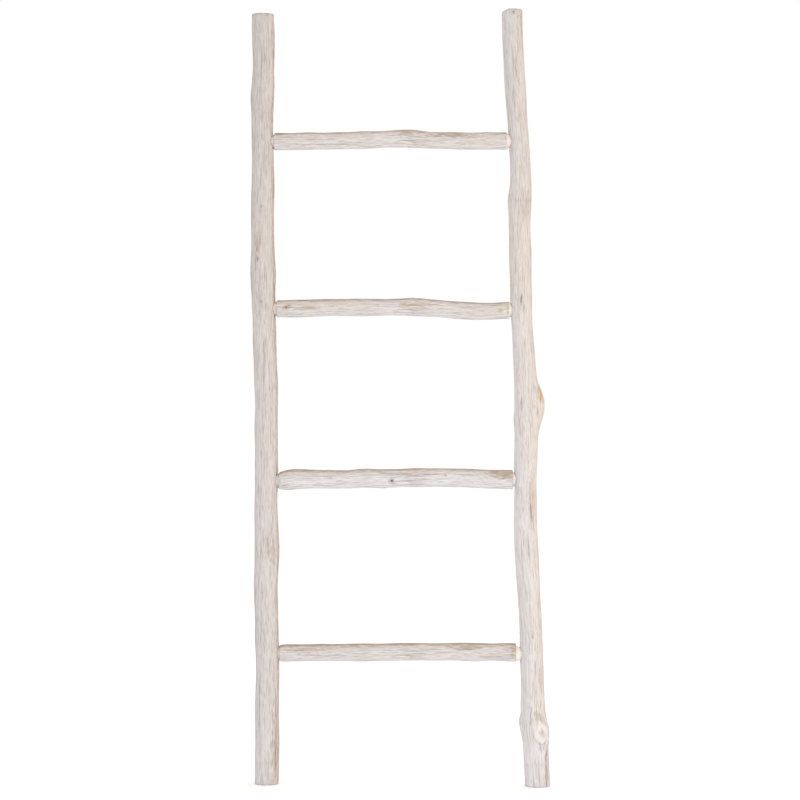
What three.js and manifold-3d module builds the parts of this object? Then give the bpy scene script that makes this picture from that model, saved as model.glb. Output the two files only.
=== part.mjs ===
// A rustic leaning ladder for hanging quilts and blankets: two rails and four rungs cut from peeled branches.
// Each rung is shaved to a round tenon at both ends. The tenon stops inside a blind mortise in the rail, and a
// wire nail driven in from the back of the rail pins it there.
//
// Millimetres, +Z up. The rungs run along X and the front faces -Y. The origin is on the floor, under the middle
// of the ladder's box, and both sawn feet lie in the plane z = 0.
import * as THREE from "three";
import { mergeVertices } from "three/addons/utils/BufferGeometryUtils.js";
import Module from "manifold-3d";

const wasm = await Module();
wasm.setup();

const HEIGHT = 1500; // to the top of the right rail
const LEFT_RAIL_HEIGHT = 1488;
const RUNG_HEIGHTS = [1246, 920, 591, 256];

const TENON_RADIUS = 12.3; // one size of drill for all eight mortises
const TENON_NECK_RADIUS = 14; // at the shoulder, where a tenon is thickest
const TENON_TAPER = 9; // how far past the shoulder it is whittled down, and its mortise reamed to match
const TENON_SET_BACK = 1.5; // behind the middle of the joint
const TENON_PAST_AXIS = 8; // how far a tenon runs on past the rail's axis
const TENON_ROOT = 6; // its neck starts this far inside the shoulder
const FIT_GAP = 0.3; // between two pieces that touch
const NAIL_LENGTH = 32;
const NAIL_RADIUS = 1.2;
const NAIL_TIP = 3;
const NAIL_HEAD_RADIUS = 2.8;
const NAIL_HEAD_THICKNESS = 1;
const NAIL_SET = 0.4; // the head's depth under the wood
const BROKEN_EDGE = 1.5; // the saw cuts' edges are rubbed off this far
const SHOULDER_EDGE = 1.2;

const RAIL_SIDES = 16;
const RUNG_SIDES = 14;
const TENON_SIDES = 20;
const NAIL_SIDES = 12;
const RAIL_STEP = 27; // between the rings of a rail, and below between those at its knots
const KNOT_STEP = 9;
const RUNG_STEP = 20;

// What a rail's branch does on its way up: its stations are [height, sideways, depth, radius].
const LEFT_RAIL = {
  name: "left_rail",
  stations: [
    [0, -253.5, 4, 23],
    [66, -253.5, 5, 22.9],
    [162, -254, 5, 23],
    [224, -253.5, 4, 22.5],
    [296, -255.5, 2, 23.1],
    [381, -257.5, 0, 22.9],
    [452, -256, 0, 24.2],
    [511, -258, 1, 22.7],
    [588, -258.5, 3, 22.5],
    [686, -259.5, 5, 22.4],
    [786, -261, 7, 22.6],
    [856, -264.5, 7, 22.7],
    [936, -266.5, 6, 22.7],
    [984, -268, 5, 24.3],
    [1036, -269, 4, 22.3],
    [1119, -269.5, 3, 21.9],
    [1206, -269.5, 2, 21],
    [1261, -271, 1, 20.3],
    [1296, -271.5, 0, 20.7],
    [1326, -271.5, 0, 22.3],
    [1356, -270, 0, 21.9],
    [1386, -269.5, 1, 20.7],
    [1436, -270.5, 3, 21.3],
    [LEFT_RAIL_HEIGHT, -271.5, 5, 21.5],
  ],
  knots: [],
};
const RIGHT_RAIL = {
  name: "right_rail",
  stations: [
    [0, 270, 1, 24.3],
    [70, 266, 2, 23.9],
    [110, 263, 3, 24.2],
    [145, 260.5, 4, 23.5],
    [224, 258, 6, 22.5],
    [282, 256, 6, 22.2],
    [360, 252, 6, 22.2],
    [417, 248, 5, 22.8],
    [466, 245, 4, 23.2],
    [534, 243, 2, 22.2],
    [592, 242.5, 1, 22],
    [650, 243, 0, 22.5],
    [690, 242.5, 0, 22.8],
    [750, 242, 1, 22.6],
    [804, 239.5, 2, 21.5],
    [852, 236, 3, 20.7],
    [900, 233, 4, 20.9],
    [960, 231, 5, 20.9],
    [1036, 229, 6, 21.2],
    [1105, 227.5, 6, 21.4],
    [1133, 227.5, 6, 22.3],
    [1162, 229, 5, 20.5],
    [1191, 228.5, 5, 19.7],
    [1248, 225, 4, 19.5],
    [1316, 220, 3, 19.6],
    [1375, 215.5, 2, 20],
    [1440, 212, 2, 20],
    [HEIGHT, 209.5, 3, 19.7],
  ],
  // A knot swells the rail: its height and the way it points, in degrees from +X towards +Y, how far it stands
  // out, and how far it reaches up, down and, in degrees, to each side. A side branch was sawn off the knot that
  // has a cut, this far from the rail's axis.
  knots: [
    { height: 738, facing: -10, out: 13.5, up: 37, down: 43, side: 48 },
    { height: 708, facing: 175, out: 2, up: 14, down: 14, side: 50 },
    { height: 106, facing: -62, out: 12, up: 26, down: 26, side: 50, cut: 31 },
    { height: 124, facing: 178, out: 4.8, up: 11, down: 27, side: 42 },
  ],
};

// The rungs from the top down. Between the shoulders a rung's stations are [along, depth, rise, radius], and the
// rise is counted from the rung's own height.
const RUNGS = [
  {
    name: "rung_1",
    height: RUNG_HEIGHTS[0],
    stations: [
      [-248, 1.5, -5, 16.9],
      [-198, 1, -3.5, 16.8],
      [-121, 2, -2, 17.1],
      [-59, 4, 0.5, 17.2],
      [-13, 5, 3, 17.3],
      [18, 5, 3, 17.6],
      [53, 4.5, 1, 17.1],
      [101, 4, 0, 16.6],
      [150, 4, 0, 16.9],
      [203, 4, 0.5, 17.3],
    ],
  },
  {
    name: "rung_2",
    height: RUNG_HEIGHTS[1],
    stations: [
      [-241, 6, -1.5, 17.2],
      [-195.5, 5, -0.5, 17.2],
      [-149.5, 3, 1, 17.2],
      [-99.5, 1, 2, 17.1],
      [-10.5, 1, 3, 17],
      [20.5, 2, 4, 17.7],
      [51.5, 3, 2.5, 17.8],
      [82.5, 4, 0.5, 17.2],
      [113.5, 5, -2, 17.3],
      [152.5, 5, -3, 17],
      [175.5, 5, -3, 16.7],
      [209.5, 4.5, -0.5, 17],
    ],
  },
  {
    name: "rung_3",
    height: RUNG_HEIGHTS[2],
    stations: [
      [-234, 3, -5, 16.6],
      [-222, 3, -4, 19.8],
      [-208, 3, -2, 20.3],
      [-190, 4, -1.5, 19.5],
      [-172, 4, -1.5, 18.7],
      [-100, 5, -1, 18.5],
      [-70, 4, 1, 18.8],
      [-38, 3, 0.5, 18.8],
      [0, 2, 2, 18.4],
      [23, 2, 3, 18.7],
      [77, 1, 3.5, 18.3],
      [135, 1, 3, 18.5],
      [174, 1, 1, 18.6],
      [218, 1, 1, 19.2],
    ],
  },
  {
    name: "rung_4",
    height: RUNG_HEIGHTS[3],
    stations: [
      [-230, 4, -3.3, 16],
      [-224, 4, -3.2, 16.6],
      [-206, 4, -2.8, 16.6],
      [-188, 3.5, -2.2, 16.8],
      [-152.5, 3, -1.4, 17],
      [-94.5, 2, -1, 17.4],
      [-55.5, 1, -0.5, 17.9],
      [-16.5, 1, 0.5, 17.8],
      [10.5, 1, 1.5, 17.3],
      [60.5, 2, 1.5, 17.5],
      [128.5, 4, 2, 17.8],
      [153.5, 5, 1.5, 18.2],
      [180.5, 6, 2, 17.4],
      [205.5, 6, 1.5, 18.3],
      [226.5, 6, 1, 18.1],
    ],
  },
];

// The saw took the right rail's top off square, and then its inner corner at this slope.
const TOP_BEVEL = { across: 13, drop: 5.5 };

const RAIL_WOOD = new THREE.MeshStandardMaterial({ color: 0xdcd1c8, roughness: 0.85, metalness: 0 });
const RUNG_WOOD = new THREE.MeshStandardMaterial({ color: 0xd5c9bf, roughness: 0.85, metalness: 0 });
const NAIL_STEEL = new THREE.MeshStandardMaterial({ color: 0x8f8d89, roughness: 0.5, metalness: 1 });

// A smooth line through a branch's stations: its middle and its radius at each level along it.
function spine(stations) {
  const levels = stations.map((station) => station[0]);
  const rest = stations.flatMap((station) => station.slice(1));
  const curve = new THREE.CubicInterpolant(levels, rest, 3, new Float64Array(3));
  return {
    first: levels[0],
    last: levels.at(-1),
    centre: (level) => Array.from(curve.evaluate(level)).slice(0, 2),
    radius: (level) => curve.evaluate(level)[2],
  };
}

// A branch is never quite round: two and three gentle lobes wander round it along its length.
function lobes(level, angle) {
  return 1 + 0.012 * Math.cos(2 * angle + level / 190) + 0.009 * Math.cos(3 * angle - level / 140);
}

// The skin's radius with a knot in it: lifted most at its middle, not at all past its reach, and sawn flat.
function overKnot(radius, { height, facing, out, up, down, side, cut = Infinity }, level, angle) {
  const turned = angle - THREE.MathUtils.degToRad(facing);
  const round = Math.atan2(Math.sin(turned), Math.cos(turned));
  const along = Math.abs(level - height) / (level > height ? up : down);
  const lifted = radius + out * Math.exp(-(along ** 2.4) - (round / THREE.MathUtils.degToRad(side)) ** 2);
  return Math.cos(round) > 0 ? Math.min(lifted, cut / Math.cos(round)) : lifted;
}

// From first to last in equal steps, with the rubbed edge's own ring at each end.
function evenLevels(first, last, step, edge) {
  const inner = last - first - 2 * edge;
  const count = Math.round(inner / step);
  const between = Array.from({ length: count + 1 }, (_, i) => first + edge + (inner * i) / count);
  return [first, ...between, last];
}

// A closed skin round a branch: one ring of points on each level and a flat cap at each end. along is the axis
// that the levels are on.
function skinGeometry(along, sides, levels, { centre, reach }) {
  const steps = levels.length - 1;
  const geometry = new THREE.CylinderGeometry(1, 1, steps, sides, steps);
  const points = geometry.getAttribute("position");
  for (let i = 0; i < points.count; i++) {
    const level = levels[Math.round(points.getY(i) + steps / 2)];
    const angle = Math.atan2(points.getX(i), points.getZ(i));
    const share = Math.hypot(points.getX(i), points.getZ(i)); // 1 on the skin and 0 in the middle of a cap
    const radius = share * reach(level, angle);
    const [middleU, middleV] = centre(level);
    const u = middleU + radius * Math.cos(angle);
    const v = middleV + radius * Math.sin(angle);
    if (along === "z") points.setXYZ(i, u, v, level);
    else points.setXYZ(i, level, u, v);
  }
  return geometry;
}

function solid(geometry) {
  const bare = geometry.clone().deleteAttribute("normal").deleteAttribute("uv");
  const merged = mergeVertices(bare, 1e-4);
  return new wasm.Manifold(
    new wasm.Mesh({
      numProp: 3,
      vertProperties: merged.getAttribute("position").array,
      triVerts: new Uint32Array(merged.index.array),
    }),
  );
}

function geometryOf(manifold) {
  const { vertProperties, triVerts } = manifold.getMesh();
  const geometry = new THREE.BufferGeometry();
  geometry.setAttribute("position", new THREE.BufferAttribute(vertProperties, 3));
  geometry.setIndex(new THREE.BufferAttribute(triVerts, 1));
  geometry.computeVertexNormals();
  return geometry;
}

// A round bar or hole between two points, which tapers where it starts with another radius.
function bar(radius, from, to, sides, startRadius = radius) {
  const start = new THREE.Vector3(...from);
  const end = new THREE.Vector3(...to);
  const geometry = new THREE.CylinderGeometry(radius, startRadius, start.distanceTo(end), sides);
  const direction = end.clone().sub(start).normalize();
  geometry.applyQuaternion(new THREE.Quaternion().setFromUnitVectors(new THREE.Vector3(0, 1, 0), direction));
  const middle = start.add(end).multiplyScalar(0.5);
  return solid(geometry.translate(middle.x, middle.y, middle.z));
}

// A branch's line, and its skin's radius round it: less by the rubbed edge at both ends, more over its knots.
function branch(stations, knots, endEdge) {
  const line = spine(stations);
  const reach = (level, angle) => {
    const edge = level === line.first || level === line.last ? endEdge : 0;
    const plain = line.radius(level) * lobes(level, angle) - edge;
    return knots.reduce((radius, knot) => overKnot(radius, knot, level, angle), plain);
  };
  return { ...line, reach };
}

function railBranch({ name, stations, knots }) {
  const rail = branch(stations, knots, BROKEN_EDGE);
  const atKnot = (level) =>
    knots.some(({ height, up, down }) => level > height - 1.6 * down && level < height + 1.6 * up);
  const levels = evenLevels(rail.first, rail.last, KNOT_STEP, BROKEN_EDGE).filter(
    (level, i, all) => i < 2 || i > all.length - 3 || atKnot(level) || i % (RAIL_STEP / KNOT_STEP) === 1,
  );
  return { ...rail, name, body: solid(skinGeometry("z", RAIL_SIDES, levels, rail)) };
}

function rungBranch({ name, height, stations }) {
  const raised = stations.map(([along, depth, rise, radius]) => [along, depth, height + rise, radius]);
  const rung = branch(raised, [], SHOULDER_EDGE);
  const levels = evenLevels(rung.first, rung.last, RUNG_STEP, SHOULDER_EDGE);
  return { ...rung, name, body: solid(skinGeometry("x", RUNG_SIDES, levels, rung)) };
}

// One end of a rung in its rail: where the tenon starts and ends, its middle, and where the nail goes in.
function joint(rung, rail, side) {
  const shoulder = side < 0 ? rung.first : rung.last;
  const [rungDepth, height] = rung.centre(shoulder);
  const [railX, railDepth] = rail.centre(height);
  return {
    name: `${rung.name}_${side < 0 ? "left" : "right"}_nail`,
    side,
    shoulder,
    height,
    depth: (rungDepth + railDepth) / 2 + TENON_SET_BACK,
    railX,
    end: railX + side * TENON_PAST_AXIS,
    nailTop: railDepth + rail.reach(height, Math.PI / 2) - NAIL_SET,
  };
}

// A joint's tenon, which tapers and then runs on as a round bar, or with a gap all round it, its mortise.
function tenon({ side, depth, height, shoulder, end }, gap = 0) {
  const at = (along) => [shoulder + side * along, depth, height];
  const neck = bar(TENON_NECK_RADIUS + gap, at(-TENON_ROOT), at(0), TENON_SIDES);
  const taper = bar(TENON_RADIUS + gap, at(0), at(TENON_TAPER), TENON_SIDES, TENON_NECK_RADIUS + gap);
  const rest = bar(TENON_RADIUS + gap, at(TENON_TAPER), [end + side * gap, depth, height], TENON_SIDES);
  return neck.add(taper).add(rest);
}

function nailHole({ railX, height, nailTop }) {
  const tip = nailTop - NAIL_LENGTH - FIT_GAP;
  const seat = nailTop - NAIL_HEAD_THICKNESS - FIT_GAP;
  const outside = nailTop + NAIL_HEAD_RADIUS;
  const shank = bar(NAIL_RADIUS + FIT_GAP, [railX, tip, height], [railX, nailTop, height], NAIL_SIDES);
  return shank.add(bar(NAIL_HEAD_RADIUS + FIT_GAP, [railX, seat, height], [railX, outside, height], NAIL_SIDES));
}

// The wedge of wood that was sawn off the right rail's top corner, on the side towards the rungs.
function topBevel(rail) {
  const [x, y] = rail.centre(rail.last);
  const corner = x - rail.reach(rail.last, Math.PI) - BROKEN_EDGE;
  const wedge = new THREE.BoxGeometry(4 * TOP_BEVEL.across, 4 * TOP_BEVEL.across, 4 * TOP_BEVEL.drop);
  wedge.translate(0, 0, 2 * TOP_BEVEL.drop);
  wedge.rotateY(-Math.atan2(TOP_BEVEL.drop, TOP_BEVEL.across));
  return solid(wedge.translate(corner + TOP_BEVEL.across, y, rail.last));
}

function woodMesh(name, body, material) {
  const mesh = new THREE.Mesh(geometryOf(body), material);
  mesh.name = name;
  return mesh;
}

function railMesh({ name, body }, joints) {
  const cut = joints.reduce((wood, each) => wood.subtract(tenon(each, FIT_GAP)).subtract(nailHole(each)), body);
  return woodMesh(name, cut, RAIL_WOOD);
}

function rungMesh({ name, body }, joints) {
  const joined = joints.reduce((wood, each) => wood.add(tenon(each)).subtract(nailHole(each)), body);
  return woodMesh(name, joined, RUNG_WOOD);
}

// The nail's point faces -Y, into the wood.
function nailMesh({ name, railX, height, nailTop }) {
  const profile = [
    [0, -NAIL_LENGTH],
    [NAIL_RADIUS, NAIL_TIP - NAIL_LENGTH],
    [NAIL_RADIUS, -NAIL_HEAD_THICKNESS],
    [NAIL_HEAD_RADIUS, -NAIL_HEAD_THICKNESS],
    [NAIL_HEAD_RADIUS, 0],
    [0, 0],
  ].map(([radius, along]) => new THREE.Vector2(radius, along));
  const mesh = new THREE.Mesh(new THREE.LatheGeometry(profile, NAIL_SIDES), NAIL_STEEL);
  mesh.name = name;
  mesh.position.set(railX, nailTop, height);
  return mesh;
}

const leftRail = railBranch(LEFT_RAIL);
const rightRail = railBranch(RIGHT_RAIL);
rightRail.body = rightRail.body.subtract(topBevel(rightRail));
const rungs = RUNGS.map(rungBranch);
const leftJoints = rungs.map((rung) => joint(rung, leftRail, -1));
const rightJoints = rungs.map((rung) => joint(rung, rightRail, 1));

const ladder = new THREE.Group();
ladder.add(railMesh(leftRail, leftJoints));
ladder.add(railMesh(rightRail, rightJoints));
rungs.forEach((rung, i) => ladder.add(rungMesh(rung, [leftJoints[i], rightJoints[i]])));
[...leftJoints, ...rightJoints].forEach((each) => ladder.add(nailMesh(each)));

export default ladder;
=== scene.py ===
import math

import bpy
import numpy as np
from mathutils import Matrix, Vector


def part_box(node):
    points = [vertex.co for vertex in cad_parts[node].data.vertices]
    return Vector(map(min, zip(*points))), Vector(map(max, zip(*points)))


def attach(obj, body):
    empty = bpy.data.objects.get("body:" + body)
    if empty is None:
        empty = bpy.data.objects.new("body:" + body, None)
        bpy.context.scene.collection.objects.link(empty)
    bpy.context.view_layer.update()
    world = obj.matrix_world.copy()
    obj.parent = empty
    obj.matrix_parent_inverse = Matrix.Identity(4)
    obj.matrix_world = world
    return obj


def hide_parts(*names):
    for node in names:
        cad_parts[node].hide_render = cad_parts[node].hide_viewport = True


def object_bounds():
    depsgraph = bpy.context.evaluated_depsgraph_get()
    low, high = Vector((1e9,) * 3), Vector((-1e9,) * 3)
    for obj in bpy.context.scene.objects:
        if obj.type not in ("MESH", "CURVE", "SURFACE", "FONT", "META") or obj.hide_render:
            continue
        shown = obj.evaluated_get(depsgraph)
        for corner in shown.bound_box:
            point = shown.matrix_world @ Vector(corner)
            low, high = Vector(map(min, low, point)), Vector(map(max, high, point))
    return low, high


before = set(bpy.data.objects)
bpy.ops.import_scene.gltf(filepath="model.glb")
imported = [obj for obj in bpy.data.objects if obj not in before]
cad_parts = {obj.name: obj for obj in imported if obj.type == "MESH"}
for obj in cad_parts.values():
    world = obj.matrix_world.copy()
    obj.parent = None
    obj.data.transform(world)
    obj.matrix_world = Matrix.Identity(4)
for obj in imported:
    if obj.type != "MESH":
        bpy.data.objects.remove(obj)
cad_low, cad_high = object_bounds()

# A leaning blanket ladder of peeled branches, whitewashed. Its rails and rungs are worked out here as fine
# skins that follow the frame's branches; the nails stay the frame's own. Lengths are in millimetres until a
# mesh is made, and angles in degrees. Round a rail an angle counts from +X towards +Y, so the front is at
# -90. Round a rung it counts from +Y towards +Z, so the top is at 90 and the front at 180.
MM = 0.001
HEIGHT = cad_high[2] / MM
LEFT_RAIL_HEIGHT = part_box("left_rail")[1][2] / MM
RUNG_HEIGHTS = {"rung_1": 1246, "rung_2": 920, "rung_3": 591, "rung_4": 256}

TENON_RADIUS = 12.3
TENON_NECK_RADIUS = 14
TENON_TAPER = 9
TENON_SET_BACK = 1.5
TENON_PAST_AXIS = 8
BROKEN_EDGE = 1.5
BROKEN_EDGE_LENGTH = 2.2
TENON_EDGE = 1.2
TENON_EDGE_LENGTH = 1.6
TOP_BEVEL_ACROSS = 13
TOP_BEVEL_DROP = 5.5
NAIL_SEAT_RADIUS = 3.6
NAIL_SEAT_DEPTH = 1.0

MORTISE_GAP = 0.5
MORTISE_DEPTH = 4

# How fine the skins are: points round each branch, rows along it, and rows from the middle of an end to its
# rim.
RAIL_SIDES = 150
RUNG_SIDES = 136
RAIL_ROW_SPACING = 3.9
RUNG_ROW_SPACING = 2.6
JOINT_CLOSE_UP = 18
CAP_ROWS = 22

# The peeled surface, in millimetres: how high the long lumps and the fine fibres stand, how deep the furrows
# go, and how far all of it is sunk. Furrows open where their random field is over FURROW_START.
RAIL_RELIEF = {"lumps": 0.3, "furrows": 0.28, "fine": 0.06, "sunk": 0}
RUNG_RELIEF = {"lumps": 0.25, "furrows": 0.28, "fine": 0.05, "sunk": 0.3}
FURROW_START = 0.35
RING_SPACING = 2.2
# The grain is laid round a branch of this radius, so it isn't stretched where the branch swells.
RAIL_GRAIN_RADIUS = 22
RUNG_GRAIN_RADIUS = 17
TWIG_SCAR_HEIGHT = 1132
KNIFE_CUTS = 9
KNIFE_CUT_DEPTH = 16

# The camera and the floor. Distances are in metres, the roll in degrees and the sensor in millimetres.
CAMERA_DISTANCE = 5.0
CAMERA_SIDEWAYS = -0.0013
CAMERA_HEIGHT = 0.744
CAMERA_ROLL = 0.42
FRAME_WIDTH = 1.546
SENSOR_WIDTH = 36
FLOOR_HALF_WIDTH = 60
FLOOR_GLOW = 0.12

# The frame's branches. A rail's stations are (height, sideways, depth, radius), and a rung's are
# (along, depth, rise over its own height, radius) between its shoulders.
LEFT_RAIL = [
    (0, -253.5, 4, 23),
    (66, -253.5, 5, 22.9),
    (162, -254, 5, 23),
    (224, -253.5, 4, 22.5),
    (296, -255.5, 2, 23.1),
    (381, -257.5, 0, 22.9),
    (452, -256, 0, 24.2),
    (511, -258, 1, 22.7),
    (588, -258.5, 3, 22.5),
    (686, -259.5, 5, 22.4),
    (786, -261, 7, 22.6),
    (856, -264.5, 7, 22.7),
    (936, -266.5, 6, 22.7),
    (984, -268, 5, 24.3),
    (1036, -269, 4, 22.3),
    (1119, -269.5, 3, 21.9),
    (1206, -269.5, 2, 21),
    (1261, -271, 1, 20.3),
    (1296, -271.5, 0, 20.7),
    (1326, -271.5, 0, 22.3),
    (1356, -270, 0, 21.9),
    (1386, -269.5, 1, 20.7),
    (1436, -270.5, 3, 21.3),
    (LEFT_RAIL_HEIGHT, -271.5, 5, 21.5),
]
RIGHT_RAIL = [
    (0, 270, 1, 24.3),
    (70, 266, 2, 23.9),
    (110, 263, 3, 24.2),
    (145, 260.5, 4, 23.5),
    (224, 258, 6, 22.5),
    (282, 256, 6, 22.2),
    (360, 252, 6, 22.2),
    (417, 248, 5, 22.8),
    (466, 245, 4, 23.2),
    (534, 243, 2, 22.2),
    (592, 242.5, 1, 22),
    (650, 243, 0, 22.5),
    (690, 242.5, 0, 22.8),
    (750, 242, 1, 22.6),
    (804, 239.5, 2, 21.5),
    (852, 236, 3, 20.7),
    (900, 233, 4, 20.9),
    (960, 231, 5, 20.9),
    (1036, 229, 6, 21.2),
    (1105, 227.5, 6, 21.4),
    (1133, 227.5, 6, 22.3),
    (1162, 229, 5, 20.5),
    (1191, 228.5, 5, 19.7),
    (1248, 225, 4, 19.5),
    (1316, 220, 3, 19.6),
    (1375, 215.5, 2, 20),
    (1440, 212, 2, 20),
    (HEIGHT, 209.5, 3, 19.7),
]
RAILS = {"left_rail": LEFT_RAIL, "right_rail": RIGHT_RAIL}
RUNGS = {
    "rung_1": [
        (-248, 1.5, -5, 16.9),
        (-198, 1, -3.5, 16.8),
        (-121, 2, -2, 17.1),
        (-59, 4, 0.5, 17.2),
        (-13, 5, 3, 17.3),
        (18, 5, 3, 17.6),
        (53, 4.5, 1, 17.1),
        (101, 4, 0, 16.6),
        (150, 4, 0, 16.9),
        (203, 4, 0.5, 17.3),
    ],
    "rung_2": [
        (-241, 6, -1.5, 17.2),
        (-195.5, 5, -0.5, 17.2),
        (-149.5, 3, 1, 17.2),
        (-99.5, 1, 2, 17.1),
        (-10.5, 1, 3, 17),
        (20.5, 2, 4, 17.7),
        (51.5, 3, 2.5, 17.8),
        (82.5, 4, 0.5, 17.2),
        (113.5, 5, -2, 17.3),
        (152.5, 5, -3, 17),
        (175.5, 5, -3, 16.7),
        (209.5, 4.5, -0.5, 17),
    ],
    "rung_3": [
        (-234, 3, -5, 16.6),
        (-222, 3, -4, 19.8),
        (-208, 3, -2, 20.3),
        (-190, 4, -1.5, 19.5),
        (-172, 4, -1.5, 18.7),
        (-100, 5, -1, 18.5),
        (-70, 4, 1, 18.8),
        (-38, 3, 0.5, 18.8),
        (0, 2, 2, 18.4),
        (23, 2, 3, 18.7),
        (77, 1, 3.5, 18.3),
        (135, 1, 3, 18.5),
        (174, 1, 1, 18.6),
        (218, 1, 1, 19.2),
    ],
    "rung_4": [
        (-230, 4, -3.3, 16),
        (-224, 4, -3.2, 16.6),
        (-206, 4, -2.8, 16.6),
        (-188, 3.5, -2.2, 16.8),
        (-152.5, 3, -1.4, 17),
        (-94.5, 2, -1, 17.4),
        (-55.5, 1, -0.5, 17.9),
        (-16.5, 1, 0.5, 17.8),
        (10.5, 1, 1.5, 17.3),
        (60.5, 2, 1.5, 17.5),
        (128.5, 4, 2, 17.8),
        (153.5, 5, 1.5, 18.2),
        (180.5, 6, 2, 17.4),
        (205.5, 6, 1.5, 18.3),
        (226.5, 6, 1, 18.1),
    ],
}
# The knots that swell the right rail, as in the frame: where, how far out, and the reach up, down and, in
# degrees, to each side. The one with a cut was a side branch, sawn off this far from the rail's axis.
SWELLINGS = {
    "left_rail": [],
    "right_rail": [
        {"at": 738, "facing": -10, "out": 13.5, "up": 37, "down": 43, "side": 48},
        {"at": 708, "facing": 175, "out": 2, "up": 14, "down": 14, "side": 50},
        {"at": 106, "facing": -62, "out": 12, "up": 26, "down": 26, "side": 50, "cut": 31},
        {"at": 124, "facing": 178, "out": 4.8, "up": 11, "down": 27, "side": 42},
    ],
}

# Marks on the skins. A pin is the heart of a twig, which the fibres part round, or a spot of painted
# shade where noted: (along, facing, radius, darkness).
PINS = {
    "left_rail": [(1013, -113, 2.4, 0.6), (932, -100, 1.6, 0.7), (1115, -93, 1.5, 0.5), (520, 70, 3, 0.8)],
    "right_rail": [
        (1493, -84, 2.6, 0.55),
        (1010, 95, 3.2, 0.8),
        (738, -115, 1.8, 0.25),
        (732, -59, 1.4, 0.4),
        (290, -86, 1.6, 0.7),
        # These two are spots of painted shade where the tenons of rung_3 and rung_4 enter the rail.
        (603, -171, 1.7, 0.8),
        (240, -171, 1.4, 0.7),
    ],
    "rung_1": [(60, 20, 2.4, 0.7)],
    "rung_2": [(-222, 172, 2.3, 0.8), (-217, 158, 1.2, 0.4), (191, 182, 1, 0.4)],
    "rung_3": [(-16, 193, 2.7, 1), (-30, 252, 1.7, 1), (87, 163, 2.2, 0.6), (-232, 178, 1.2, 0.5)],
    "rung_4": [(-90, 10, 2.6, 0.8), (-193, 183, 1.3, 0.7)],
}
# The wood parts in fine checks as it dries: ((along, facing), ...), then half width, depth and darkness.
CHECKS = {
    "left_rail": [
        (((860, -91), (815, -93), (771, -99)), 0.7, 0.9, 0.45),
        (((190, -43), (105, -38), (28, -39)), 0.8, 1.2, 0.75),
        (((226, -131), (120, -127), (20, -125)), 0.7, 0.7, 0.3),
        (((640, 60), (540, 66), (430, 61)), 0.9, 1.6, 0.7),
        (((1488, 40), (1430, 37), (1370, 42)), 0.8, 1.4, 0.7),
        (((966, -22), (948, -18), (926, -14)), 1.0, 0.6, 0.9),
        (((616, -18), (602, -22), (586, -34)), 0.9, 0.5, 0.75),
        (((280, -14), (268, -20), (254, -32)), 0.9, 0.5, 0.6),
    ],
    "right_rail": [
        (((84, -18), (66, -33), (45, -43), (21, -47), (-4, -44)), 0.9, 1.3, 0.95),
        (((158, -101), (140, -103), (117, -108)), 0.8, 1.2, 0.6),
        (((593, -67), (582, -69), (569, -69)), 0.8, 0.4, 0.4),
        (((568, -71), (556, -72), (544, -69)), 0.9, 0.5, 0.5),
        (((551, -67), (530, -64), (509, -65)), 0.9, 0.7, 0.8),
        (((953, -90), (926, -92)), 1.1, 0.6, 1),
        (((754, -116), (722, -114)), 1.0, 0.8, 0.6),
        (((718, -118), (700, -126), (674, -120)), 0.9, 0.5, 0.45),
        (((708, -107), (690, -112), (666, -108)), 0.8, 0.4, 0.35),
        (((1400, 70), (1290, 76), (1180, 72)), 0.9, 1.6, 0.7),
        (((1396, -88), (1362, -76), (1348, -65)), 0.7, 0.7, 0.45),
        (((1354, -107), (1308, -105)), 0.7, 0.6, 0.4),
        (((330, -42), (312, -46), (294, -35)), 0.8, 0.4, 0.45),
        (((778, -18), (762, -33)), 0.7, 0.7, 0.9),
        (((773, -9), (759, -24)), 0.6, 0.6, 0.8),
    ],
    "rung_1": [(((-214, 203), (-150, 209), (-80, 213)), 0.8, 0.8, 0.35)],
    "rung_2": [(((40, 214), (120, 208)), 0.7, 0.6, 0.25)],
    "rung_3": [
        (((-44, 147), (-20, 146), (18, 152)), 0.9, 0.8, 0.45),
        (((-233, 206), (-214, 204)), 0.9, 0.4, 0.7),
        (((-174, 157), (-150, 159), (-124, 161)), 0.9, 0.3, 0.4),
        (((-174, 218), (-128, 220)), 0.9, 0.3, 0.4),
    ],
    "rung_4": [
        (((160, 222), (200, 218), (230, 214)), 0.8, 0.7, 0.5),
        (((150, 206), (190, 203), (229, 206)), 0.7, 0.5, 0.45),
        (((168, 188), (229, 186)), 0.6, 0.4, 0.45),
        (((-208, 158), (-178, 156)), 0.8, 0.3, 0.4),
        (((-192, 192), (-150, 194), (-112, 194)), 0.9, 0.4, 0.4),
        (((-192, 232), (-148, 232)), 0.9, 0.3, 0.4),
    ],
}
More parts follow.
